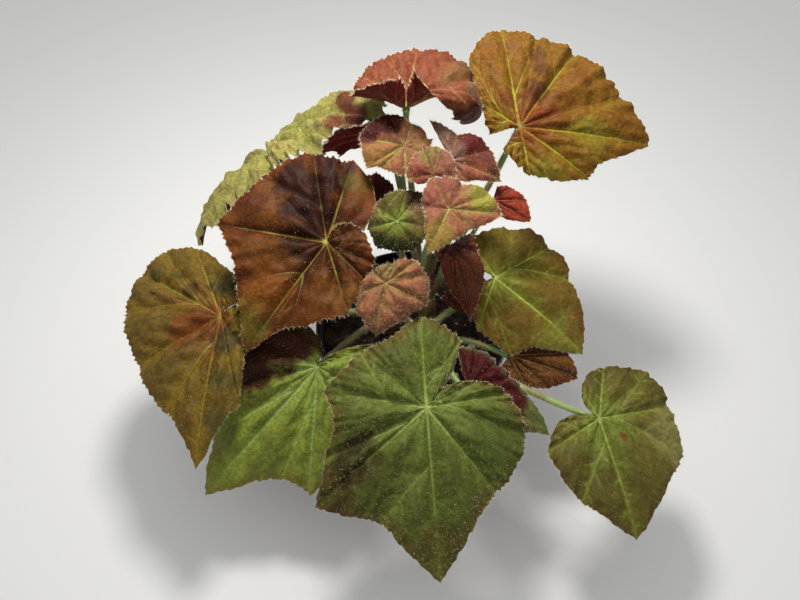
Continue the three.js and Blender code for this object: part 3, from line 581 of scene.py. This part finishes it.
RED_LEAVES = [
    dict(look=RED, name="leaf_centre_red", stem="left", hub=(-48, 8, 160), tip=212, leans=(180, 27),
         mains=(3, 4, 6, 8, 10, 11), overlap=50, hairs=0.1, tooth=1, quilt=0.015, channel=2.4,
         # The near-black patches on the upper half and round the hub are partly the leaf's own dark colouring
         # and partly painted shade.
         stains_and_shade=(((-61, 37, 175), 19, "#200806", 0.85), ((-44, 46, 179), 13, "#260a08", 0.7),
                 ((-78, -16, 148), 14, "#74420f", 0.6), ((-93, -28, 135), 13, "#66601c", 0.5),
                 ((-92, 27, 170), 12, "#3c1508", 0.6), ((-53, 17, 166), 10, "#1e0806", 0.7),
                 ((-67, 4, 158), 8, "#1e0806", 0.6), ((-33, 42, 173), 7, "#5e5a20", 0.35),
                 ((-38, 4, 162), 13, "#472612", 0.7), ((-36, -20, 144), 10, "#80562a", 0.6)),
         veins=[(-188, 8, 22, 15, 0), (-146, 21, 18, 8, 1), (-99, 31, 12, 0, 1), (-80, 34, 5, -10, 3),
                (-52, 43, 0, -15, 2), (-12, 53, 0, -15, 6), (1, 78, 0, -25, 4), (30, 57, 0, -15, 6),
                (65, 64, 0, -10, 3), (101, 56, 0, -15, 1), (135, 58, 0, -20, 3), (160, 53, -3, -15, -3),
                (165, 23, -6, -20, 0)]),
    dict(look=WINE, name="leaf_top_arched", stem="back", hub=(-14, 77, 182), tip=262, leans=(350, 62),
         veins=[(-108, 6, 0, 0, 0), (-69, 13, 0, -10, 0), (-40, 27, 0, -15, 0), (-8, 40, 0, -20, 1),
                (11, 44, 0, -20, 2), (30, 37, 0, -20, 2), (60, 20, 0, -5, 1), (110, 14, 0, 0, 0)]),
    dict(look=ROSE, name="leaf_small_red", stem="back", hub=(44, 28, 172), tip=120, leans=(180, 30),
         veins=[(-98, 9, 0, -10, 0), (-63, 14, 0, -10, 1), (-28, 20, 0, -10, 1), (2, 25, 0, -15, 1),
                (35, 11, 0, -10, 1), (120, 6, 0, 0, 0)]),
    dict(look=DARK, name="leaf_narrow_brown", stem="back", hub=(22, 17, 148), tip=160, leans=(180, 20),
         stains_and_shade=(((25, 18, 148), 11, "#240906", 0.9), ((34, 2, 141), 12, "#5c3a20", 0.5)),
         veins=[(-103, 13, 0, 0, 0), (-49, 17, 0, -10, 0), (-14, 32, 0, -30, 1), (7, 47, 0, -45, 3),
                (18, 32, 0, -45, 2), (51, 14, 0, -30, 1), (129, 9, 0, 0, 0)]),
    dict(look=BROWN, name="leaf_right_brown", stem="front", hub=(56.5, -30.5, 104), tip=110, leans=(180, 25),
         bends=((28, -21, 106), (32, -24, 114)),
         veins=[(-100, 18, 0, -5, 0), (-60, 26, 0, -14, 1), (-21, 38, 0, -24, 1), (-2, 46, 0, -32, 2),
                (21, 31, 0, -18, 1), (44, 22, 0, -14, 0), (111, 12, 0, -5, 0)]),
    dict(look=BRACT, name="leaf_under_crimson", stem="front", hub=(30, -57, 113), tip=120, leans=(140, 10),
         hairs=0.15, tooth=0.6,
         stains_and_shade=(((72, -70, 101), 13, "#5c6230", 0.9), ((46, -46, 113), 16, "#3e0909", 0.7)),
         veins=[(-137, 11, 0, 0, 0), (-130, 26, 0, -5, 0), (-104, 26, 0, -5, 0), (-74, 24, 0, -10, 0),
                (-48, 27, 0, -15, 0), (-29, 35, 0, -18, 2), (-5, 53, 0, -28, 0), (5, 41, 0, -22, 0),
                (46, 19, 0, -10, 0), (100, 12, 0, -5, 0)]),
    dict(look=DARK, name="leaf_under_bud", stem="front", hub=(23, -6, 118), tip=90, leans=(180, 20),
         veins=[(-138, 8, 0, -10, 0), (-99, 12, 0, -10, 0), (-67, 14, 0, -10, 0), (-26, 12, 0, -10, 0),
                (29, 10, 0, -10, 0)]),
    dict(look=WINE, name="leaf_crown_back", stem="back", hub=(-20, 44, 157), tip=350, leans=(170, 25),
         veins=[(-150, 8, 0, -5, 0), (-105, 12, 0, -8, 0), (-60, 16, 0, -12, 0), (-27, 19, 0, -15, 1),
                (4, 19, 0, -15, 1), (36, 15, 0, -12, 0), (70, 11, 0, -8, 0), (115, 8, 0, -5, 0),
                (160, 6, 0, 0, 0)]),
]
for leaf in RED_LEAVES:
    grow(leaf)

# ---------------- golden and olive leaves
# Sun-yellowed blades round the outside of the plant. Their veins stay green after the tissue
# between them has turned gold or olive, and red-brown runs out from the hub.
GOLD = dict(base="#6b430f", cloud="#735211", middle="#623a0c", middle_amount=0.4, hub="#5a250e",
    hub_reach=0.55, hub_amount=0.7, margin="#6b4912", margin_mm=10.0, margin_amount=0.4, flank="#6b5a18",
    flank_amount=0.4, vein="#9c9a33", vein_amount=0.85, fork_amount=0.2, heart="#b07c3c", heart_amount=0.75,
    rim="#6a4420", rim_amount=0.5, under=CRIMSON)
OLIVE = dict(GOLD, base="#5c5017", cloud="#6b5619", middle="#573d11", hub="#737a2c", hub_amount=0.7,
    margin="#6a4a1a", flank="#76772a", flank_amount=0.55, vein="#9ba445", heart="#a8b45e")
OCHRE = dict(GOLD, base="#644b19", cloud="#725a1a", middle="#443714", middle_amount=0.6, hub="#643314",
    margin="#604a1c", flank="#66531c", vein="#8a8030", vein_amount=0.6, rim="#b8a878")
LIME = dict(OLIVE, base="#8d8745", cloud="#7a763f", middle="#8e7c43", hub="#8c8a47", margin="#8c854b",
    vein="#b7c063", rim="#c8c090", rim_amount=0.6)
DUSK = dict(OLIVE, base="#56521f", cloud="#635d23", middle="#4d4018", hub="#6a7a2d", margin="#432f17",
    flank="#6b6f2c", flank_amount=0.6, vein="#8a9c48", vein_amount=0.5, heart_amount=0.4, rim="#8a7a50")
OLIVE_LEAVES = [
    dict(look=OCHRE, name="leaf_far_left", stem="left", hub=(-109, -19, 128), tip=190, leans=(215, 12),
         mains=(3, 4, 6, 8, 10), overlap=14, hairs=0.1, tooth=0.7, quilt=0.025, channel=1.8,
         # The dark olive patches down its right side are painted shadow from the leaves above, and those
         # up-left of the hub are painted shade in the furrow.
         stains_and_shade=(((-112, -22, 128), 11, "#5e2a10", 0.5), ((-128, -27, 125), 10, "#6a3010", 0.6),
                 ((-108, 0, 129), 11, "#33311a", 0.75), ((-103, -34, 125), 9, "#33311a", 0.75),
                 ((-104, -55, 118), 8, "#403c1e", 0.65), ((-106, -74, 108), 8, "#403c1e", 0.6),
                 ((-153, 11, 126), 5, "#3c3a16", 0.6), ((-139, 10, 129), 5, "#3c3814", 0.7),
                 ((-129, -2, 129), 5, "#3c3014", 0.7)),
         veins=[(-150, 9, -5, -15, 0), (-95, 18, -5, -25, 1), (-42, 28, -5, -30, 3), (-23, 53, -5, -35, 6),
                (-2, 86, -5, -30, 6), (17, 62, 0, -22, 1), (51, 55, 0, -18, 2), (89, 63, 0, -12, 1),
                (112, 66, 0, -12, 1), (128, 67, 0, -12, 1), (145, 58, 0, -18, 1), (163, 40, -5, -30, 3),
                (200, 14, -5, -35, 0)]),
    dict(look=LIME, name="leaf_back_left", stem="left", hub=(-91, 101, 148), tip=266, leans=(301, 46),
         mains=(1, 3, 5, 6, 8, 10), tooth=1, puff=0.2, quilt=0.018, crumple=0.016, channel=2.0, wave=0.035,
         stains_and_shade=(((-41, 101, 186), 7, "#4e150c", 0.9), ((-34, 84, 183), 11, "#430f0a", 0.95),
                 ((-46, 84, 180), 7, "#5a180e", 0.9)),
         veins=[(-176, 89, 0, -36, 2), (-152, 92, 0, -58, 8), (-126, 54, -4, -50, 3), (-84, 44, 0, -55, 3),
                (-52, 48, 0, -55, 3), (-24, 64, 0, -48, 3), (0, 86, 0, -30, 3), (30, 60, 0, -25, 2),
                (70, 44, 0, -25, 2), (110, 42, 0, -25, 2), (150, 52, 0, -15, 2), (180, 64, 0, -20, 0)]),
    dict(look=GOLD, name="leaf_back_right_gold", stem="back", hub=(58, 57, 200), tip=90, leans=(180, 28),
         mains=(1, 3, 5, 7, 8, 9), hairs=0.04, tooth=0.6, wave=0.02,
         stains_and_shade=(((64, 60, 203), 13, "#6a2810", 0.55), ((97, 51, 196), 12, "#6e6a1c", 0.5),
                 ((74, 34, 188), 10, "#74701e", 0.5), ((62, 90, 217), 14, "#6a4410", 0.5),
                 ((71, 97, 219), 5, "#4a2c16", 0.7), ((71, 86, 216), 5, "#46260f", 0.7),
                 ((69, 75, 210), 6, "#3e1c10", 0.7)),
         veins=[(-194, 17, 0, -8, 0), (-145, 24, 0, -8, 2), (-122, 51, 0, -12, -2), (-97, 63, 0, -15, 0),
                (-77, 58, 0, -12, 0), (-54, 58, 0, -12, 1), (-18, 63, 0, -14, 0), (6, 76, 0, -20, 9),
                (36, 49, 0, -20, 1), (78, 28, 0, -20, 1), (124, 16, 0, -12, 0)]),
    dict(look=OLIVE, name="leaf_right_olive", stem="front", hub=(49, 9, 128), tip=150, leans=(170, 18),
         mains=(1, 3, 5, 7), hairs=0.1, tooth=0.4, quilt=0.012, channel=1.8,
         stains_and_shade=(((86, -24, 109), 14, "#7c7a30", 0.6), ((50, 32, 134), 17, "#8a7a2e", 0.75),
                 ((97, -15, 111), 8, "#6a3210", 0.4)),
         veins=[(-209, 12, 0, -10, 1), (-177, 31, 0, -20, 1), (-129, 37, 0, -15, -2), (-91, 42, 0, -12, -2),
                (-61, 47, 0, -15, 2), (-20, 70, 0, -30, 9), (20, 48, 0, -20, 1), (50, 34, 0, -15, 1),
                (82, 18, 0, -10, 0), (101, 7, 0, -5, 0)]),
    dict(look=DUSK, name="leaf_far_right", stem="front", hub=(102, -70, 102), tip=165, leans=(180, 15),
         bends=((41, -38, 104), (60, -56, 107)), mains=(1, 2, 4, 6, 8), hairs=0.1, tooth=0.35, quilt=0.012,
         channel=1.5,
         stains_and_shade=(((113, -81, 101), 3, "#6a1e10", 0.8), ((143, -78, 97), 17, "#88824a", 0.6)),
         veins=[(-211, 9, 0, -5, 0), (-189, 19, 0, -12, -1), (-152, 32, 0, -15, 2), (-116, 43, 0, -18, 0),
                (-84, 43, 0, -18, 2), (-51, 51, 0, -22, 8), (2, 66, 0, -25, 3), (32, 47, 0, -18, 1),
                (74, 35, 0, -18, 0), (102, 22, 0, -12, 1), (132, 7, 0, -5, 0)]),
    dict(look=DUSK, name="leaf_small_green", stem="back", hub=(-9, 16, 168), tip=185, leans=(180, 35),
         mains=(1, 4, 6), overlap=10, closing=0.2, hairs=0.8,
         stains_and_shade=(((2, 27, 174), 9, "#33130c", 0.85), ((-20, 6, 156), 9, "#282b10", 0.75),
                 ((-9, 5, 155), 9, "#282b10", 0.75), ((0, 7, 156), 8, "#282b10", 0.75),
                 ((3, 18, 169), 8, "#76583e", 0.5)),
         veins=[(-176, 17, 0, -10, 0), (-146, 22, 0, -10, 1), (-85, 18, 0, -20, 0), (-37, 21, 0, -60, 1),
                (-2, 19, 0, -60, 1), (31, 21, 0, -60, 1), (70, 18, 0, -30, 1), (120, 15, 0, -10, 0),
                (177, 18, 5, -10, 0)]),
]
for leaf in OLIVE_LEAVES:
    grow(leaf)

# ---------------- young pink leaves
# New growth over the crown: small, thickly hairy blades that open salmon pink and are not yet green,
# and the big cupped one at the top that stands its base up and shows its crimson back.
PINK = dict(base="#7d4d36", cloud="#8b603a", middle="#814331", middle_amount=0.4, hub="#7f5b3d",
    hub_reach=0.5, hub_amount=0.5, margin="#774431", margin_mm=10.0, margin_amount=0.5, flank="#806c3b",
    flank_amount=0.45, vein="#989048", vein_amount=0.8, fork_amount=0.2, heart="#a39a52", heart_amount=0.6,
    rim="#d8c498", rim_amount=0.75, under=CRIMSON)
SALMON = dict(PINK, base="#6b3421", cloud="#794429", middle="#632b1d", hub="#733f28", margin="#6f3722",
    flank="#73462b", vein="#987147")
MAUVE = dict(PINK, base="#53251e", cloud="#5c3129", middle="#40130f", hub="#64362a", vein="#8b6542")
PINK_LEAVES = [
    dict(look=SALMON, name="leaf_top_cupped", stem="back", hub=(-4, 74, 200), tip=0, leans=(180, 10),
         mains=(2, 4, 6, 8, 9, 11), hairs=0.1, tooth=1,
         stains_and_shade=(((27, 90, 208), 14, "#664a26", 0.7), ((32, 76, 209), 8, "#6e5a44", 0.6),
                 ((26, 64, 203), 11, "#430f09", 0.9)),
         veins=[(-172, 20, 55, 105, 0), (-150, 30, 55, 105, 1), (-115, 30, 45, 80, 2), (-78, 33, 12, -10, 1),
                (-49, 37, 12, -20, 1), (-18, 42, 12, -20, 1), (9, 46, 14, -18, 1), (38, 51, 18, -30, 1),
                (66, 61, 22, -85, 1), (95, 70, 42, -175, 1), (112, 62, 65, -160, 14), (140, 33, 75, 85, 1),
                (160, 29, 55, 105, 1), (176, 20, 55, 105, 0)]),
    dict(look=PINK, name="leaf_top_pink", stem="back", hub=(-5, 53, 190), tip=225, leans=(160, 25),
         overlap=24, closing=0.2,
         # The dark crimson patches on its back part are painted shade where the cupped leaf above shadows it.
         stains_and_shade=(((-20, 45, 189), 10, "#86662c", 0.5), ((-6, 56, 192), 8, "#80523f", 0.6),
                 ((-14, 67, 197), 12, "#3c0d0b", 0.95), ((-24, 59, 193), 7, "#3c0d0b", 0.95)),
         veins=[(-160, 18, 0, -10, 1), (-119, 15, 0, -5, 0), (-51, 18, 0, -15, 0), (-6, 19, 0, -30, 2),
                (8, 26, 0, -25, 1), (50, 26, 0, -8, 1), (105, 22, 0, -6, 1), (149, 15, 0, 0, 0),
                (180, 15, 0, 0, 0)]),
    dict(look=MAUVE, name="leaf_crown_right", stem="back", hub=(20, 42, 189), tip=100, leans=(200, 25),
         hairs=0.8,
         # The dark crimson patch on its right is painted shade on the half that lies in shade.
         stains_and_shade=(((36, 50, 194), 13, "#4c100c", 0.95), ((15, 56, 195), 8, "#785c4c", 0.7),
                 ((22, 46, 192), 7, "#74584c", 0.7), ((25, 36, 187), 6, "#785244", 0.6),
                 ((34, 34, 187), 8, "#8a4c30", 0.7)),
         veins=[(-123, 28, 0, 0, 2), (-84, 16, 0, 0, 0), (-21, 24, 0, -15, 1), (14, 31, 0, -30, 3),
                (47, 16, 0, -20, 2), (120, 6, 0, 0, 0)]),
    dict(look=PINK, name="leaf_crown_folded", stem="back", hub=(10, 30, 189), tip=320, leans=(200, 30),
         hairs=0.8,
         stains_and_shade=(((9, 41, 195), 6, "#6a6632", 0.6), ((18, 33, 194), 8, "#6e4236", 0.6),
                 ((5, 29, 188), 5, "#5e1a14", 0.7)),
         veins=[(-101, 5, 0, -5, 0), (-50, 15, 0, -10, 1), (26, 17, 0, -10, 0), (60, 17, 0, -10, 1),
                (157, 13, 0, -5, 0)]),
    dict(look=PINK, name="leaf_crown_centre", stem="back", hub=(18, 8, 185), tip=190, leans=(180, 25),
         bends=((6, 13, 128), (2, 13, 150)), mains=(2, 4, 6), overlap=14, closing=0.2, hairs=0.6,
         stains_and_shade=(((13, 14, 189), 9, "#7c4638", 0.7), ((36, 14, 189), 8, "#82842c", 0.8),
                 ((11, -5, 178), 9, "#84702c", 0.7)),
         veins=[(-162, 16, 5, -5, 0), (-121, 24, 5, -12, 0), (-97, 29, 0, -18, 1), (-56, 16, 0, -15, 3),
                (15, 26, 0, -25, 5), (83, 14, 0, -12, 0), (143, 20, 5, -5, 0), (190, 15, 5, 0, 0)]),
    dict(look=PINK, name="leaf_young_pink", stem="front", hub=(-15, -20, 158), tip=195, leans=(190, 30),
         mains=(1, 3, 5, 7), overlap=8, closing=0.2, hairs=0.8, quilt=0.03, channel=3.0,
         stains_and_shade=(((-15, -12, 161), 7, "#74763a", 0.6), ((-14, -25, 156), 26, "#8a5c40", 0.35)),
         veins=[(-175, 13, 10, -10, 0), (-141, 22, 10, -40, 1), (-116, 25, 0, -45, 1), (-79, 27, 0, -55, 2),
                (-39, 24, 0, -55, 2), (-1, 31, 0, -55, 2), (37, 24, 0, -45, 1), (59, 16, 0, -30, 1),
                (120, 10, 0, 0, 0), (180, 11, 8, -5, 0)]),
]
for leaf in PINK_LEAVES:
    grow(leaf)

# ---------------- stems and leaf stalks
# Three short fleshy stems, ringed by the scars of fallen leaves, each send up a sheaf of stalks.
# A stalk is a juicy round rod, pale green flushed red, with a coat of long soft hairs.
STEMS = {"front": ((6, -12), 103), "left": ((-14, 4), 98), "back": ((8, 14), 100)}
STEM_HEAD, STEM_FOOT, STEM_RADIUS, STEM_SIDES = 6, 50, 6.5, 28
STALK_RADIUS, STALK_SIDES, STALK_STEPS, STALK_HAIRS, STALK_HAIR_RADIUS = 1.9, 12, 48, 7, 0.07
BELOW_HUB = 1.4
flesh, tree, shader = new_finish("fleshy_green_stalk")
# Stalk skin is smooth and moist under its hairs: pale green, streaked lengthways with red-brown,
# with a blush in patches of 14 mm and flecks of 1.2 mm.
place = add(tree, "TexCoord").outputs["Object"]
along = add(tree, "Attribute", attribute_name="along").outputs["Fac"]
blush = add(tree, "TexNoise", {"Vector": place, "Scale": 1000 / 14, "Detail": 3}).outputs["Fac"]
fleck = add(tree, "TexNoise", {"Vector": place, "Scale": 1000 / 1.2, "Detail": 2}).outputs["Fac"]
redder = add(tree, "Math", {0: along, 1: -0.35, 2: blush}, operation="MULTIPLY_ADD").outputs[0]
red = add(tree, "MapRange", {"Value": redder, "From Min": 0.2, "From Max": 0.55}).outputs[0]
tone = add(tree, "Mix", {0: red, 6: linear("#8aa35a"), 7: linear("#7a4a36")}, data_type="RGBA")
spots = add(tree, "MapRange", {"Value": fleck, "To Min": 0.75, "To Max": 1.25}).outputs[0]
tone = add(tree, "VectorMath", {0: tone.outputs[2], "Scale": spots}, operation="SCALE")
join(tree, shader, {"Base Color": tone.outputs[0], "Roughness": 0.42})


def stalk_path(leaf):
    """A cubic curve from the stem's head, out and up, to just under the hub, square to the blade. One
    that has to clear another piece is pulled by its own two bends instead."""
    foot, top = STEMS[leaf["stem"]]
    start = np.array([*foot, top - STEM_HEAD])
    hub, up = np.array(leaf["hub"]), blade_axes(leaf)[2]
    u = np.linspace(0, 1, STALK_STEPS)[:, None]
    if "bends" in leaf:
        first, last = np.array(leaf["bends"])
        end = hub - up * (BELOW_HUB + STALK_RADIUS * np.linalg.norm(np.cross(unit(hub - last), up)))
    else:
        end = hub - up * BELOW_HUB
        span = np.linalg.norm(end - start)
        first = start + 0.35 * span * (0.5 * unit((end - start) * [1, 1, 0]) + [0, 0, 0.85])
        last = end - 0.3 * span * up
    return start * (1 - u) ** 3 + 3 * first * u * (1 - u) ** 2 + 3 * last * u ** 2 * (1 - u) + end * u ** 3


def stalk(leaf, draw):
    """A tube round the path, stouter at its foot and flared under the blade, with a rounded end,
    and hairs all round it. Returns points, faces, each face's finish and how far along the stalk
    each point is."""
    path, share = stalk_path(leaf), np.linspace(0, 1, STALK_STEPS)
    way = unit(np.gradient(path, axis=0))
    size = max(row[1] for row in leaf["veins"])
    thick = STALK_RADIUS * np.clip(0.55 + size / 130, 0.6, 1.05)
    thick *= 1.15 - 0.3 * share + 0.25 * np.exp(-((1 - share) / 0.03) ** 2)
    thick *= 1 + 0.05 * np.sin(share * 37 + size)
    turn = 2 * np.pi * np.arange(STALK_SIDES)[:, None] / STALK_SIDES
    near = [0.31, 0.9, 0.3]
    tube = path[:, None] + thick[:, None, None] * spokes(way[:, None], near, turn)
    points = np.vstack([tube.reshape(-1, 3), path[0] - way[0], path[-1] + 0.4 * way[-1]])
    faces = tube_faces(STALK_STEPS, STALK_SIDES)
    count = int(STALK_HAIRS * np.linalg.norm(np.diff(path, axis=0), axis=1).sum())
    row, column = draw.integers(0, STALK_STEPS - 1, count), draw.uniform(0, 2 * np.pi, count)
    slip = draw.random((count, 1))
    out = spokes(way[row], near, column[:, None])
    root = path[row] * (1 - slip) + path[row + 1] * slip + out * thick[row, None] * 0.95
    lean = unit(out + draw.normal(0, 0.3, (count, 3)))
    tufts = bristles(root, lean, draw.uniform(0.9, 2.0, count), STALK_HAIR_RADIUS)
    along = np.concatenate([np.repeat(share, STALK_SIDES), [0, 1], np.zeros(len(tufts[0]))])
    return *gather([(points, faces), tufts]), [0] * len(faces) + [1] * len(tufts[1]), along


leaves = GREEN_LEAVES + RED_LEAVES + OLIVE_LEAVES + PINK_LEAVES
for name, (foot, top) in STEMS.items():
    draw = np.random.default_rng(len(name))
    rings = [(0, STEM_FOOT), (STEM_RADIUS, STEM_FOOT)]
    # scars swell the stem every 5.7 mm, and it is stouter above the mix
    rings += [(STEM_RADIUS + 0.5 * np.sin(z * 1.1) + 1.0 * (z > 84), z) for z in np.linspace(52, top - 7, 34)]
    rings += [(7.3, top - 5), (6.2, top - 2.5), (4.4, top), (2, top + 1.6), (0, top + 2)]
    points, faces = lathe(rings, STEM_SIDES, wobble=0.04)
    parts = [(points + [*foot, 0], faces, [0] * len(faces), np.zeros(len(points)))]
    parts += [stalk(leaf, draw) for leaf in leaves if leaf["stem"] == name]
    finish_of = [kind for part in parts for kind in part[2]]
    piece = build("stalks_" + name, *gather(parts), [flesh, hair], finish_of)
    mark_points(piece, "along", np.concatenate([part[3] for part in parts]))
    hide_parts("stems_" + name)

# ---------------- floor and light
# A plain pale painted surface, with one soft lamp over the back of the plant and pale light all round.
floor_mesh = bpy.data.meshes.new("floor")
floor_mesh.from_pydata([(-3, -3, 0), (3, -3, 0), (3, 3, 0), (-3, 3, 0)], [], [(0, 1, 2, 3)])
floor_mesh.materials.append(plain_finish("matt_white_paint", "#e4e4e2", 0.7))
floor = bpy.data.objects.new("floor", floor_mesh)
scene.collection.objects.link(floor)
lamp_data = bpy.data.lights.new("lamp", "AREA")
lamp_data.shape, lamp_data.size, lamp_data.energy = "DISK", 0.1, 1.78
lamp_data.color = (1.0, 0.98, 0.94)
lamp = bpy.data.objects.new("lamp", lamp_data)
lamp.location = (-0.028, 0.1, 0.49)
lamp.visible_camera = False
scene.collection.objects.link(lamp)
world = bpy.data.worlds.new("studio")
world.use_nodes = True
tree = world.node_tree
sky = add(tree, "SeparateXYZ", {0: add(tree, "TexCoord").outputs["Generated"]})
fill = add(tree, "MapRange", {"Value": sky.outputs["Z"], "From Max": 0.9, "To Min": 0.26, "To Max": 0.82})
join(tree, tree.nodes["Background"], {"Color": linear("#f2f3f4"), "Strength": fill.outputs[0]})
scene.world = world
scene.view_settings.view_transform = "Standard"
